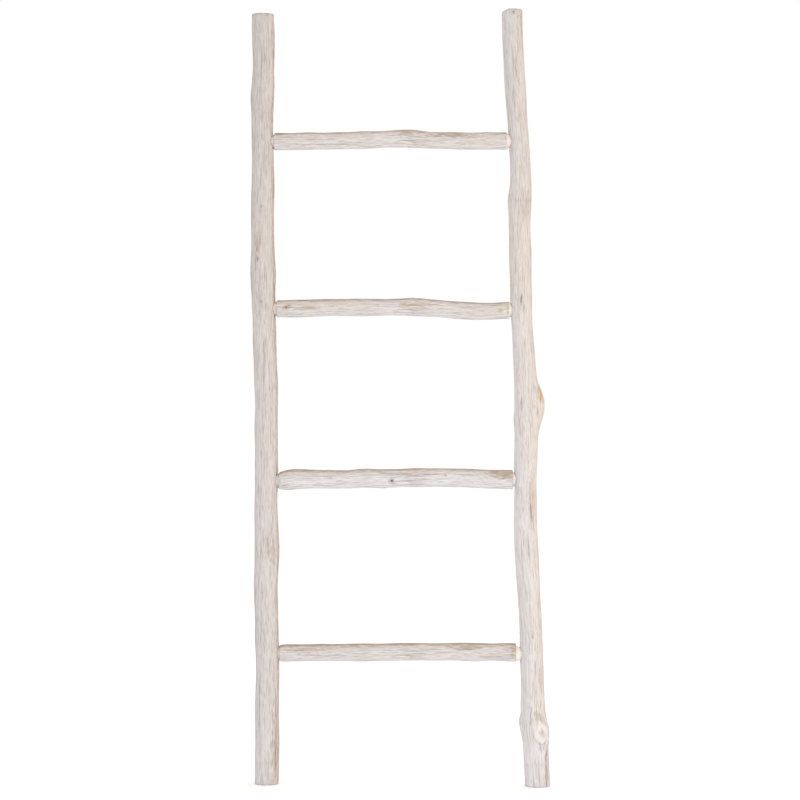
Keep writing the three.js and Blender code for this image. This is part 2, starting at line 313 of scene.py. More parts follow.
# Where the wash is rubbed off: (along, facing, half length, half width, how bare, how golden the wood is).
PATCHES = {
    "left_rail": [(1040, -112, 20, 5, 0.5, 0), (60, -40, 60, 7, 0.5, 0), (455, -62, 26, 6, 0.35, 0)],
    "right_rail": [
        (757, -15, 16, 11, 0.95, 1),
        (738, -4, 14, 7, 0.5, 0.7),
        (1483, -27, 38, 6, 0.4, 0),
        (136, -75, 9, 5, 0.35, 0.35),
        (36, -22, 46, 7, 0.4, 0.2),
        (1122, -60, 26, 12, 0.3, 0),
        (558, -54, 50, 7, 0.35, 0.6),
        (205, -40, 28, 6, 0.3, 0.8),
    ],
    "rung_1": [(5, 138, 14, 6, 0.75, 0.2), (92, 146, 44, 4.5, 0.65, 0), (199.9, 168, 1.8, 15, 0.6, 0.9)],
    "rung_2": [
        (-183, 182, 27, 3.5, 0.5, 0.2),
        (-219, 172, 9, 4, 0.5, 0.2),
        (-47, 170, 6, 3, 0.45, 0.5),
        (4, 168, 9, 4, 0.5, 0.5),
        (31, 165, 15, 4.5, 0.55, 0.5),
        (57, 160, 7, 3, 0.5, 0.5),
        (191, 181, 5, 4, 0.85, 1),
        (206, 165, 2.5, 14, 0.7, 1),
    ],
    "rung_3": [(199, 146, 24, 9.5, 0.7, 0), (17, 155, 27, 3, 0.35, 0), (-16, 193, 7, 6, 0.3, 1)],
    "rung_4": [(133, 146, 28, 5, 0.65, 0), (221, 150, 5, 13, 0.6, 0), (-170, 150, 30, 4, 0.4, 0)],
}
# How much cooler the wash is on a rail's foot, where most of it ran down to.
WASH_COOLS = {"left_rail": 0.1, "right_rail": 0.45}
# How much whiter the wash is over a rail's lower half, and on each rung.
WASHED = {"left_rail": 0.13, "right_rail": 0.2, "rung_1": 0, "rung_2": 0.06, "rung_3": 0.28, "rung_4": 0.1}
# How much a rail's wash is greyed: a little all along, and more over its upper part as painted shade.
GREYED_TOP_SHADE = {"left_rail": 0.65, "right_rail": 0.9}
# The stub of the side branch that was sawn off: where, facing, half length and half width.
STUB = (107, -68, 21, 11.5)
# How a rung's ends were whittled: over how many millimetres the body rounds down to the tenon.
SHOULDERS = {"rung_1": (1.2, 3.4), "rung_2": (3.4, 2.6), "rung_3": (1.8, 1.2), "rung_4": (1.6, 1.2)}
# One tenon was cut a little low, and left thicker at its shoulder.
TENON_DROP = {("rung_4", "right_rail"): 2.2}
THICK_NECK = {("rung_4", "right_rail"): 15.4}


def linear(hex_colour):
    """An sRGB hex value, such as "e4dcd6", as linear (r, g, b, 1)."""
    channels = [int(hex_colour[i : i + 2], 16) / 255 for i in (0, 2, 4)]
    return (*[c / 12.92 if c <= 0.04045 else ((c + 0.055) / 1.055) ** 2.4 for c in channels], 1.0)


def turned(angle, facing):
    """The angle from facing, in radians from -pi to pi. angle is in radians and facing in degrees."""
    away = angle - math.radians(facing)
    return np.arctan2(np.sin(away), np.cos(away))


def course(stations, levels):
    """The branch's middle (two columns) and radius at each level. It is a Hermite curve through the stations,
    and the slope at a station is the mean of the slopes to its two neighbours."""
    known = np.array(stations, float)
    at, values = known[:, 0], known[:, 1:]
    secants = np.diff(values, axis=0) / np.diff(at)[:, None]
    slopes = np.vstack([secants[:1], (secants[1:] + secants[:-1]) / 2, secants[-1:]])
    held = np.clip(levels, at[0], at[-1])
    k = np.clip(np.searchsorted(at, held) - 1, 0, len(at) - 2)
    span = (at[k + 1] - at[k])[:, None]
    t = (held - at[k])[:, None] / span
    start = (2 * t**3 - 3 * t**2 + 1) * values[k] + (t**3 - 2 * t**2 + t) * span * slopes[k]
    end = (3 * t**2 - 2 * t**3) * values[k + 1] + (t**3 - t**2) * span * slopes[k + 1]
    result = start + end
    return result[:, :2], result[:, 2]


def lobes(level, angle):
    """The frame's own out-of-roundness: two and three gentle lobes that wander round the branch."""
    return 1 + 0.012 * np.cos(2 * angle + level / 190) + 0.009 * np.cos(3 * angle - level / 140)


def over_swelling(radius, swelling, level, angle):
    """The radius with a swelling in it: radius + out * exp(-along^2.4 - round^2), then sawn flat at the
    cut."""
    away = turned(angle, swelling["facing"])
    reach = np.where(level > swelling["at"], swelling["up"], swelling["down"])
    along = np.abs(level - swelling["at"]) / reach
    lifted = radius + swelling["out"] * np.exp(-(along**2.4) - (away / math.radians(swelling["side"])) ** 2)
    if "cut" not in swelling:
        return lifted
    flat = swelling["cut"] / np.maximum(np.cos(away), 0.05)
    return np.where(np.cos(away) > 0, np.minimum(lifted, flat), lifted)


def ripples(seed, around, along, count=40):
    """A seamless random relief of about unit size: a sum of sine waves, each with a whole number of turns
    round the branch, between the two in around, and a length along it between the two in along."""
    rng = np.random.default_rng(seed)
    turns = rng.integers(around[0], around[1] + 1, count) * rng.choice((-1, 1), count)
    pitches = 2 * math.pi / rng.uniform(along[0], along[1], count)
    phases = rng.uniform(0, 2 * math.pi, count)

    def field(level, angle):
        waves = (np.sin(n * angle + p * level + s) for n, p, s in zip(turns, pitches, phases))
        return sum(waves) / math.sqrt(count / 2)

    return field


def parted(level, angle, radius, swirls):
    """The angle at which each point's fibre runs where nothing is in its way. Fibres part round a knot as
    water does round a post: du becomes du * (1 - a^2 / (d^2 + a^2)), with d the distance and a the knot's
    radius, and the change fades out towards the back of the branch."""
    straight = np.array(angle, float)
    for at, facing, size, stretch in swirls:
        du = radius * turned(angle, facing)
        d2 = du**2 + ((level - at) / stretch) ** 2
        straight = straight - du / radius * size**2 / (d2 + size**2) * np.exp(-((du / 38) ** 2))
    return straight


def pin_marks(level, angle, radius, pins):
    """(how far the skin is pushed out, how dark it is) at the pins: a low collar round a dark pit."""
    relief = np.zeros_like(angle)
    dark = np.zeros_like(angle)
    for at, facing, size, darkness in pins:
        d = np.hypot(radius * turned(angle, facing), (level - at) / 1.15) / size
        relief += 0.45 * np.exp(-(((d - 1.6) / 0.8) ** 2)) - 0.5 * size * np.exp(-(d**2) * 1.3)
        dark = np.maximum(dark, darkness * (np.exp(-(d**4)) + 0.3 * np.exp(-(((d - 1.9) / 0.35) ** 2))))
    return relief, dark


def check_marks(level, angle, radius, checks):
    """(how far the skin is pushed out, how dark it is) along the drying checks, where it goes in. Each is a
    groove whose section is a bell curve round a line through its points, and it fades out at both ends."""
    relief = np.zeros_like(angle)
    dark = np.zeros_like(angle)
    for points, half_width, depth, darkness in checks:
        line = np.array(sorted(points), float)
        low, high = line[0, 0], line[-1, 0]
        facing = np.interp(level, line[:, 0], line[:, 1])
        wobble = 0.5 * np.sin(level / 7) + 0.35 * np.sin(level / 3.1 + 1)
        away = angle - np.radians(facing)
        du = radius * np.arctan2(np.sin(away), np.cos(away)) + wobble
        inside = np.clip((level - low) / 9, 0, 1) * np.clip((high - level) / 9, 0, 1)
        bell = np.exp(-((du / half_width) ** 2)) * inside
        relief -= depth * bell
        dark = np.maximum(dark, darkness * bell)
    return relief, dark


def stub_marks(level, angle, radius, ragged):
    """(relief, bareness, gold, dark, fresh wood) of the sawn stub: an oval cream face, a low callus that has
    grown in over its rim, a tan heart with a short dark line in it, and a dark seam that follows the rim
    below and towards the left."""
    at, facing, half_length, half_width = STUB
    across = radius * turned(angle, facing) / half_width
    along = (level - at) / half_length
    d = np.hypot(across, along)
    relief = 0.3 * np.exp(-(((d - 0.9) / 0.2) ** 2)) - 0.4 * np.exp(-(((d - 1.12) / 0.08) ** 2))
    heart = np.exp(-((np.hypot(across - 0.15, along - 0.1) / 0.45) ** 2))
    gold = np.clip(heart * (0.75 + 0.8 * ragged), 0, 1)
    below = np.clip(-along - 0.5 * across + 0.1, 0, 1)
    seam = 0.38 * np.exp(-(((d - 1.1) / 0.06) ** 2)) * below
    line = 0.5 * np.exp(-((((across - 0.25) + 0.3 * along) / 0.06) ** 2)) * (np.abs(along - 0.2) < 0.25)
    fresh = 0.45 * np.clip((1.08 - d) / 0.3, 0, 1) * (1 - gold)
    return relief, 0.6 * gold, 0.9 * gold, np.maximum(seam, line), fresh


def patch_marks(level, angle, radius, patches, ragged):
    """(how worn, how golden) the wood is in the patches: an ellipse whose edge the ragged relief breaks up,
    least where the wood is barest."""
    worn = np.zeros_like(angle)
    golden = np.zeros_like(angle)
    for at, facing, half_length, half_width, bareness, gold in patches:
        d = np.hypot(radius * turned(angle, facing) / half_width, (level - at) / half_length)
        inside = np.clip((1.15 - d + (0.55 - 0.3 * bareness - 0.2 * gold) * ragged) / 0.45, 0, 1)
        worn = np.maximum(worn, bareness * inside)
        golden = np.maximum(golden, gold * inside)
    return worn, golden


def spread_levels(first, last, step, close_ups):
    """From first to last in about equal steps, finer in each (low, high, step) close-up."""
    levels = [np.arange(first, last, step), [last]]
    for low, high, fine in close_ups:
        levels.append(np.arange(max(low, first), min(high, last), fine))
    merged = np.unique(np.round(np.concatenate(levels), 2))
    keep = np.concatenate([[True], np.diff(merged) > 0.35])
    merged = merged[keep]
    merged[-1] = last
    return merged


def skin_mesh(name, points, attributes):
    """A closed mesh from a grid of points (rows along, columns around). The first and the last row have
    shrunk to a point each, which becomes one vertex with a fan of triangles; quads join the rows between.
    Attributes are (rows, columns) numbers or (rows, columns, 3) vectors."""
    rows, columns = points.shape[:2]
    ring = np.arange(columns)
    after = np.roll(ring, -1)
    inner = rows - 2
    start = (np.arange(inner - 1) * columns)[:, None]
    quads = np.stack([start + ring, start + after, start + columns + after, start + columns + ring], -1)
    first, last = inner * columns, inner * columns + 1
    low_fan = np.stack([np.full(columns, first), after, ring], -1)
    top = (inner - 1) * columns
    high_fan = np.stack([np.full(columns, last), top + ring, top + after], -1)

    def flat(grid):
        body = grid[1:-1].reshape(inner * columns, -1)
        return np.concatenate([body, grid[:1].mean(1).reshape(1, -1), grid[-1:].mean(1).reshape(1, -1)])

    corners = np.concatenate([quads.reshape(-1), low_fan.reshape(-1), high_fan.reshape(-1)])
    sizes = np.concatenate([np.full(quads.size // 4, 4), np.full(2 * columns, 3)])
    mesh = bpy.data.meshes.new(name)
    mesh.vertices.add(inner * columns + 2)
    mesh.vertices.foreach_set("co", (flat(points) * MM).astype(np.float32).ravel())
    mesh.loops.add(len(corners))
    mesh.loops.foreach_set("vertex_index", corners.astype(np.int32))
    mesh.polygons.add(len(sizes))
    mesh.polygons.foreach_set("loop_start", (np.cumsum(sizes) - sizes).astype(np.int32))
    mesh.polygons.foreach_set("loop_total", sizes.astype(np.int32))
    mesh.polygons.foreach_set("use_smooth", np.ones(len(sizes), bool))
    for key, grid in attributes.items():
        kind, field = ("FLOAT_VECTOR", "vector") if grid.ndim == 3 else ("FLOAT", "value")
        layer = mesh.attributes.new(key, kind, "POINT")
        layer.data.foreach_set(field, flat(grid).astype(np.float32).ravel())
    mesh.update(calc_edges=True)
    mesh.validate()
    piece = bpy.data.objects.new(name, mesh)
    bpy.context.scene.collection.objects.link(piece)
    return piece


def capped_rows(levels, first, last):
    """The grid's rows: from the middle of the first end out to its rim, along the skin, and in to the middle
    of the other end. Gives each row's level and the share of the radius it stands at."""
    out = np.linspace(0, 1, CAP_ROWS + 1)[:-1] ** 0.85
    level = np.concatenate([np.full(CAP_ROWS, first), levels, np.full(CAP_ROWS, last)])
    share = np.concatenate([out, np.ones(len(levels)), out[::-1]])
    return level, share


def sawn_ends(level, share, angle, radius, first, last, seed):
    """(lengthwise relief, end-grain mask, darkness) of the sawn ends: the blade's ridges run straight across,
    2.6 mm and 1.1 mm apart, and a few short checks open from the pith."""
    rng = np.random.default_rng(seed)
    on_end = (share < 1) | (level == first) | (level == last)
    x, y = share * radius * np.cos(angle), share * radius * np.sin(angle)
    tilt = rng.uniform(0, math.pi)
    across = x * math.cos(tilt) + y * math.sin(tilt)
    coarse = np.sin(across * 2 * math.pi / 2.6) - 1
    ridges = 0.12 * coarse + 0.06 * (np.sin(across * 2 * math.pi / 1.1 + y / 9) - 1)
    dark = np.zeros_like(angle)
    for facing, reach in zip(rng.uniform(0, 360, 4), rng.uniform(0.45, 0.95, 4)):
        du = share * radius * turned(angle, facing)
        ahead = np.cos(turned(angle, facing)) > 0
        dark = np.maximum(dark, ahead * np.exp(-((du / 0.6) ** 2)) * (share < reach) * (share > 0.05))
    dark = dark * on_end
    outward = np.where(level == last, 1, -1)
    inside = np.clip((1 - share) * 12, 0, 1)
    relief = outward * on_end * inside * (ridges - 0.7 * dark)
    return relief, np.where(on_end, inside, 0), 0.6 * dark * inside


def branch_grid(stations, levels, first, last, sides):
    """The skin's grid, with rows along the branch and columns round it: the level, the angle and the share of
    the radius at each point, and the branch's middle and radius at each row."""
    row_level, row_share = capped_rows(levels, first, last)
    angle = np.tile(np.linspace(0, 2 * math.pi, sides, endpoint=False), (len(row_level), 1))
    level = np.tile(row_level[:, None], (1, sides))
    share = np.tile(row_share[:, None], (1, sides))
    centre, plain = course(stations, row_level)
    return level, angle, share, centre, plain[:, None]


def peeled(lumps, furrows, fine, sizes):
    """The relief of peeled wood: lumps and fine fibres stand out, and furrows go in where they are open."""
    open_furrows = np.clip(furrows - FURROW_START, 0, 2)
    return sizes["lumps"] * lumps - sizes["furrows"] * open_furrows + sizes["fine"] * fine - sizes["sunk"]


def grain_place(radius, fibre, level):
    """Where the wood's patterns are read: straight up a round branch, at the angle of the fibre."""
    return np.stack([radius * np.cos(fibre), radius * np.sin(fibre), level], -1)


def end_station(rung, rail):
    """A rung's station at its shoulder by that rail."""
    return RUNGS[rung][0 if rail == "left_rail" else -1]


def rail_at(rail, height):
    """A rail's sideways place, depth and radius at one height."""
    centre, radius = course(RAILS[rail], np.array([float(height)]))
    return centre[0, 0], centre[0, 1], radius[0]


def rail_skin(name, seed):
    """A rail: level along Z and angle round it. radius = course * lobes, over its swellings, plus the relief
    of peeled wood; the nails' seats and the mortises' mouths are pressed in."""
    stations = RAILS[name]
    first, last = stations[0][0], stations[-1][0]
    heights = [joint_height(rung, name) for rung in RUNGS]
    # The rows stand closer at the joints, the ends and the knots.
    close_ups = [(h - JOINT_CLOSE_UP, h + JOINT_CLOSE_UP, 2) for h in heights]
    close_ups += [(first, first + 2.4, 0.5), (last - 2.4, last + 1, 0.5)]
    if SWELLINGS[name]:
        close_ups += [(60, 150, 2.6), (680, 790, 2.8), (last - 13, last, 1.5)]
    levels = spread_levels(first, last, RAIL_ROW_SPACING, close_ups)
    level, angle, share, centre, around = branch_grid(stations, levels, first, last, RAIL_SIDES)

    swirls = [(s["at"], s["facing"], s["out"] * 1.1 + 3, 1.5) for s in SWELLINGS[name]]
    swirls += [(at, facing, size * 1.9, 2.2) for at, facing, size, _ in PINS[name]]
    fibre = parted(level, angle, around, swirls)
    lumps = ripples(seed, (2, 5), (70, 190))(level, angle)
    furrows = ripples(seed + 1, (9, 30), (90, 320))(level, fibre)
    fine = ripples(seed + 2, (28, 60), (30, 120))(level, fibre)
    ragged = ripples(seed + 3, (6, 34), (12, 60))(level, fibre)
    relief = peeled(lumps, furrows, fine, RAIL_RELIEF)
    pin_relief, pin_dark = pin_marks(level, angle, around, PINS[name])
    check_relief, check_dark = check_marks(level, angle, around, CHECKS[name])
    worn, golden = patch_marks(level, angle, around, PATCHES[name], ragged)
    fresh = 0 * angle
    if name == "right_rail":
        stub_relief, stub_worn, stub_gold, stub_dark, fresh = stub_marks(level, angle, around, ragged)
        pin_relief = pin_relief + stub_relief
        worn, golden = np.maximum(worn, stub_worn), np.maximum(golden, stub_gold)
        pin_dark = np.maximum(pin_dark, stub_dark)

    from_end = np.minimum(level - first, last - level)
    rounding = BROKEN_EDGE * (1 - np.sqrt(1 - np.clip(1 - from_end / BROKEN_EDGE_LENGTH, 0, 1) ** 2))
    radius = around * lobes(level, angle) - rounding
    for swelling in SWELLINGS[name]:
        radius = over_swelling(radius, swelling, level, angle)
    radius = radius + relief + pin_relief + check_relief
    # The mortises' mouths are darkened as painted shade, more on the left rail.
    mouth_shade = np.zeros_like(angle)
    inner, shade = (0, 0.45) if name == "left_rail" else (180, 0.25)
    for rung, height in zip(RUNGS, heights):
        off = np.hypot(around * turned(angle, 90), level - height)
        radius = radius - NAIL_SEAT_DEPTH * np.clip((NAIL_SEAT_RADIUS + 0.6 - off) / 0.8, 0, 1)
        depth = centre[:, 1:] + radius * np.sin(angle) - tenon_depth(rung, name)
        hole = np.hypot(depth, level - height - tenon_rise(rung, name))
        shoulder = end_station(rung, name)[0]
        past = np.abs(centre[:, :1] + radius * np.cos(angle) - shoulder)
        mouth_radius = tenon_radius(past, rung, name) + MORTISE_GAP
        facing = np.abs(turned(angle, inner)) < 1.2
        radius = radius - MORTISE_DEPTH * facing * np.clip((mouth_radius + 0.5 - hole) / 1.0, 0, 1)
        mouth_shade = np.maximum(mouth_shade, shade * facing * np.clip((mouth_radius + 0.8 - hole) / 0.8, 0, 1))

    end_relief, end, end_dark = sawn_ends(level, share, angle, radius, first, last, seed + 4)
    x = centre[:, :1] + share * radius * np.cos(angle)
    y = centre[:, 1:] + share * radius * np.sin(angle)
    z = level + end_relief
    if name == "right_rail":
        z = bevelled(z, x, level, last, centre, around)

    # The rail's right-hand side and its end rims are worn, and the left rail's outer side is painted shade.
    side = 1.0 if name == "left_rail" else 0.3
    sides = side * np.clip((np.cos(angle) - 0.8) / 0.14, 0, 1) * np.clip(0.7 + 0.4 * ragged, 0, 1)
    side_shade = 0.22 * np.clip((-np.cos(angle) - 0.86) / 0.12, 0, 1) if name == "left_rail" else 0
    rim = np.exp(-(((from_end - 0.8) / 1.5) ** 2)) * np.clip(0.8 + 0.3 * ragged, 0, 1)
    rim = rim * np.where(level > last / 2, 0.85, 0.3)
    # Painted shade: the wash is greyed more and more over a rail's upper part.
    high = np.clip((level - 900) / 580, 0, 1)
    run_down = np.clip((860 - level) / 250, 0, 1) + 0.5 * np.clip((170 - level) / 60, 0, 1)
    cooler = WASH_COOLS[name] * np.clip((100 - level) / 40, 0, 1)
    less_on_right = 1 - 0.6 * np.clip(np.cos(angle), 0, 1)
    # A faint dark line runs round the right rail at an old twig scar.
    ring = 0
    if name == "right_rail":
        ring = 0.3 * np.exp(-(((level - TWIG_SCAR_HEIGHT) / 2.2) ** 2)) * np.clip(ragged, 0, 1)
    grooves = np.clip(furrows - 0.9, 0, 1) * 0.35
    attributes = {
        "grain": grain_place(share * RAIL_GRAIN_RADIUS, fibre, level),
        "worn": np.clip(np.maximum.reduce([worn, sides, rim]) + 0.25 * grooves, 0, 1) * (1 - end),
        "golden": golden * (1 - end),
        "warm": np.clip(0.5 + 0.5 * np.cos(angle) - cooler, 0, 1),
        "greyed_top_shade": GREYED_TOP_SHADE[name] * np.clip(0.15 + high, 0, 1) * (1 - end),
        "washed": WASHED[name] * run_down * less_on_right * (1 - end),
        "cut": fresh,
        "dark": np.maximum.reduce([pin_dark, check_dark, grooves * 0.3, ring + side_shade, end_dark, mouth_shade]),
        "end": end,
    }
    return skin_mesh(f"{name}_wood", np.stack([x, y, z], -1), attributes)


def bevelled(z, x, level, last, centre, around):
    """The top of the right rail with its inner corner sawn off: each column of the skin is squeezed to end on
    a plane that falls away towards the rungs."""
    base = last - 2 * TOP_BEVEL_DROP
    corner = centre[-1, 0] - around[-1, 0] + TOP_BEVEL_ACROSS
    drop = np.clip(corner - x, 0, None) * TOP_BEVEL_DROP / TOP_BEVEL_ACROSS
    return z - drop * np.clip((level - base) / (last - base), 0, 1)


def joint_height(rung, rail):
    """How high a rung enters a rail: at the height of its shoulder there."""
    return RUNG_HEIGHTS[rung] + end_station(rung, rail)[2]


def tenon_radius(past_shoulder, rung, rail):
    """A tenon's radius: it tapers from its neck, and then runs on as a round bar."""
    neck = THICK_NECK.get((rung, rail), TENON_NECK_RADIUS)
    return neck + (TENON_RADIUS - neck) * np.clip(past_shoulder / TENON_TAPER, 0, 1)


def tenon_depth(rung, rail):
    """How far back a tenon's axis lies: a little behind midway between the rung's end and the rail's
    middle."""
    _, depth, _ = rail_at(rail, joint_height(rung, rail))
    return (depth + end_station(rung, rail)[1]) / 2 + TENON_SET_BACK


def tenon_rise(rung, rail):
    """How far a tenon's axis stands over its joint's height."""
    return -TENON_DROP.get((rung, rail), 0)


def rung_skin(name, seed):
    """A rung: level along X and angle round it. Its radius is that of the branch between the shoulders, and
    the tenon's beyond them; a whittled shoulder rounds from one to the other with flat knife cuts."""
    stations = [(along, depth, RUNG_HEIGHTS[name] + up, radius) for along, depth, up, radius in RUNGS[name]]
    low, high = stations[0][0], stations[-1][0]
    left_axis, _, _ = rail_at("left_rail", joint_height(name, "left_rail"))
    right_axis, _, right_radius = rail_at("right_rail", joint_height(name, "right_rail"))
    first = left_axis - TENON_PAST_AXIS
    last = right_axis + TENON_PAST_AXIS
    wall = right_axis - right_radius
    # The rows stand closer at the ends and the shoulders.
    close_ups = [(first, first + 2, 0.5), (last - 2, last + 1, 0.5)]
    close_ups += [(low - 1, low + 9, 0.6), (high - 9, high + 1, 0.6)]
    levels = spread_levels(first, last, RUNG_ROW_SPACING, close_ups)
    level, angle, share, centre, around = branch_grid(stations, levels, first, last, RUNG_SIDES)

    swirls = [(at, facing, size * 1.9, 2.2) for at, facing, size, _ in PINS[name]]
    fibre = parted(level, angle, around, swirls)
    lumps = ripples(seed, (2, 4), (50, 150))(level, angle)
    furrows = ripples(seed + 1, (7, 24), (80, 260))(level, fibre)
    fine = ripples(seed + 2, (22, 44), (30, 110))(level, fibre)
    ragged = ripples(seed + 3, (5, 26), (12, 60))(level, fibre)
    relief = peeled(lumps, furrows, fine, RUNG_RELIEF)
    pin_relief, pin_dark = pin_marks(level, angle, around, PINS[name])
    check_relief, check_dark = check_marks(level, angle, around, CHECKS[name])
    worn, golden = patch_marks(level, angle, around, PATCHES[name], ragged)

    inside = np.where(level < (low + high) / 2, level - low, high - level)
    neck = np.where(level < 0, SHOULDERS[name][0], SHOULDERS[name][1])
    rise = np.clip(inside / neck, 0, 1)
    shoulder = np.sqrt(1 - (1 - rise) ** 2)
    turn = (angle * KNIFE_CUTS / (2 * math.pi) + seed * 0.37) % 1 - 0.5
    knife = 1 / np.cos(turn * 2 * math.pi / KNIFE_CUTS) - 1.03
    from_end = np.minimum(level - first, last - level)
    rounding = TENON_EDGE * (1 - np.sqrt(1 - np.clip(1 - from_end / TENON_EDGE_LENGTH, 0, 1) ** 2))
    left_tenon = tenon_radius(-inside, name, "left_rail")
    right_tenon = tenon_radius(-inside, name, "right_rail")
    tenon = np.where(level < 0, left_tenon, right_tenon) - rounding + 0.04 * fine
    body = around * lobes(level, angle) + (relief + pin_relief + check_relief) * rise
    cuts = KNIFE_CUT_DEPTH * knife * shoulder * (1 - rise) * (neck > 2)
    radius = tenon + (body - tenon) * shoulder + cuts
    radius = np.where(inside < 0, tenon, radius)

    marks_dark = np.maximum(pin_dark, check_dark) * rise
    tenon_y = np.where(level < 0, tenon_depth(name, "left_rail"), tenon_depth(name, "right_rail"))
    tenon_z = np.where(level < 0, tenon_rise(name, "left_rail"), tenon_rise(name, "right_rail"))
    body_share = np.clip(inside / 1.2 + 1, 0, 1)
    end_relief, end, end_dark = sawn_ends(level, share, angle, radius, first, last, seed + 4)
    x = level + end_relief
    y = tenon_y + (centre[:, :1] - tenon_y) * body_share + share * radius * np.cos(angle)
    z = centre[:, 1:] + tenon_z * (1 - body_share) + share * radius * np.sin(angle)

    # A rung's top is worn bare by what hangs over it, and is also bared and darkened as painted shade.
    top = np.clip((np.sin(angle) - 0.75 + 0.06 * ragged) / 0.18, 0, 1)
    grooves = np.clip(furrows - 0.9, 0, 1) * 0.35
    # Its whittled shoulders are fresh wood.
    cut = np.clip(1.3 - inside / (0.7 * neck), 0, 1) * np.where(level < 0, 0.3, 1)
    cut = cut * np.clip((wall - level) / 1.2 + 0.5, 0.35, 1)
    top = top * 0.9 * (1 - 0.6 * WASHED[name])
    # Painted shade: a dark line in the step at the right shoulders of the short-necked rungs.
    shoulder_shade = 0.4 * np.exp(-(((inside - 0.9) / 0.6) ** 2)) * (level > 0) * (neck < 2)
    attributes = {
        "grain": grain_place(share * RUNG_GRAIN_RADIUS, fibre, level),
        "worn": np.clip(np.maximum(worn, top) * (1 - cut) + 0.25 * grooves, 0, 1) * (1 - end),
        "golden": golden * (1 - end),
        "warm": np.clip(0.45 + 0.6 * np.sin(angle), 0, 1),
        "greyed_top_shade": 0 * angle,
        "washed": WASHED[name] * np.clip(0.9 - 0.9 * np.sin(angle), 0, 1) * (1 - end),
        "cut": cut * (1 - end),
        # The darkening of the top here is painted shade.
        "dark": np.maximum.reduce([marks_dark, grooves * 0.3, 0.1 * top * (1 - cut), shoulder_shade, end_dark]),
        "end": end,
    }
    return skin_mesh(f"{name}_wood", np.stack([x, y, z], -1), attributes)


def add(tree, kind, inputs=None, **settings):
    """Adds a node with its own settings. inputs gives its sockets, by name or number, a value or a link."""
    made = tree.nodes.new(kind)
    for key, value in settings.items():
        setattr(made, key, value)
    for key, value in (inputs or {}).items():
        if isinstance(value, bpy.types.NodeSocket):
            tree.links.new(value, made.inputs[key])
        else:
            made.inputs[key].default_value = value
    return made


def wood_patterns(tree, grain):
    """The wood's noises, laid along the grain. Each has spots so many millimetres across and along, its
    detail, and a shift that keeps it apart from the others. Real bundles of fibres are about 0.2 mm across,
    too fine to show, so the finest here are drawn 0.9 mm across."""
    sizes = {
        "streak": (1.7, 55, 3, 11),
        "fibre": (0.9, 17, 2, 23),
        "cloud": (13, 90, 2, 37),
        "dash": (1.3, 18, 2, 51),
        "mottle": (3.0, 22, 3, 71),
    }
    patterns = {}
    for name, (across, along, detail, shift) in sizes.items():
        scale = (1 / across, 1 / across, 1 / along)
        place = {"Vector": grain, "Scale": scale, "Location": (shift, 0, shift)}
        vector = add(tree, "ShaderNodeMapping", place).outputs["Vector"]
        noise = {"Vector": vector, "Scale": 1.0, "Detail": detail, "Roughness": 0.55}
        patterns[name] = add(tree, "ShaderNodeTexNoise", noise).outputs["Fac"]
    # The year rings are circles round the pith, RING_SPACING apart. A ring wave's angle is 20 radians times
    # its scale times the distance, so one turn of it is one year.
    ring_scale = 2 * math.pi / 20 / RING_SPACING
    wave = {"Vector": grain, "Scale": ring_scale, "Distortion": 1.2, "Detail": 1.0, "Detail Scale": 0.6}
    rings = add(tree, "ShaderNodeTexWave", wave, wave_type="RINGS", rings_direction="Z")
    patterns["rings"] = rings.outputs["Fac"]
    return patterns


